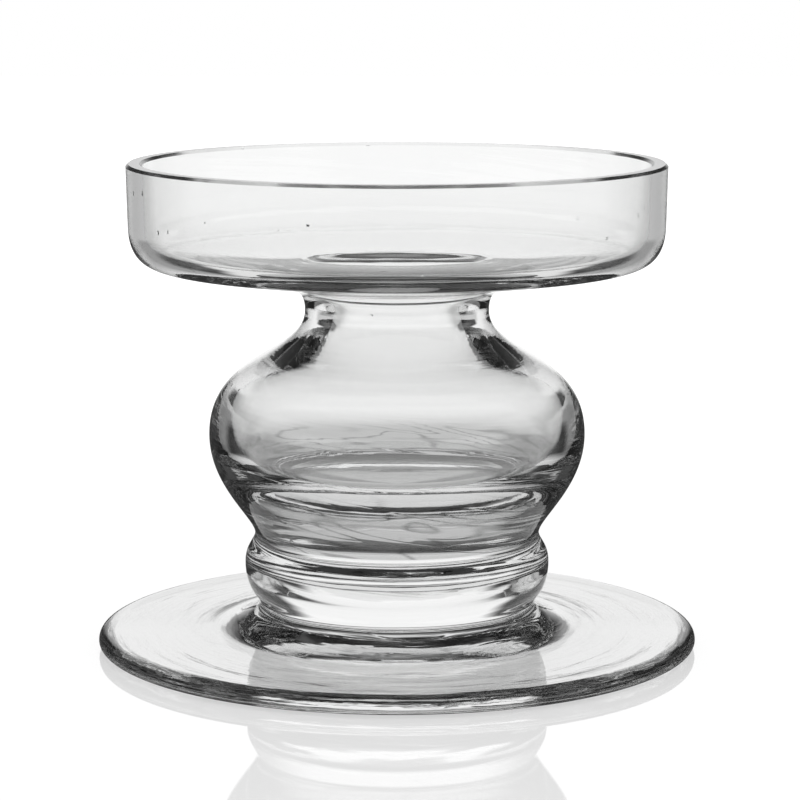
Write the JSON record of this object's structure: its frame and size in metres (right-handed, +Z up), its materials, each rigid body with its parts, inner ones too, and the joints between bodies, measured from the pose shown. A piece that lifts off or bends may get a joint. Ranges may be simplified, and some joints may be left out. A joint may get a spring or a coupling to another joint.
{
  "type": "floating candle bowl",
  "caption": "Clear glass footed bowl for floating candles: a shallow round dish on a hollow bulb stem with a ring knop and a broad disc foot.",
  "frame": {"origin": "centre of the underside, on the surface that the foot rests on", "axes": "+Z up along the axis of rotation; X and Y are any two level directions, since the object is round"},
  "size_m": [0.1688, 0.1688, 0.1367],
  "materials": {
    "dish_glass": "fire-polished clear glass, rim cut flat and polished",
    "bulb_glass": "fire-polished clear glass with fine drawing lines and a few seeds",
    "ring_glass": "fire-polished clear glass with a fine seam line",
    "foot_glass": "fire-polished clear glass, faint turning rings near the edge"
  },
  "bodies": {
    "root": {"dish": "dish_glass", "hollow_bulb": "bulb_glass", "ring_knop": "ring_glass", "foot_disc": "foot_glass"}
  },
  "joints": []
}
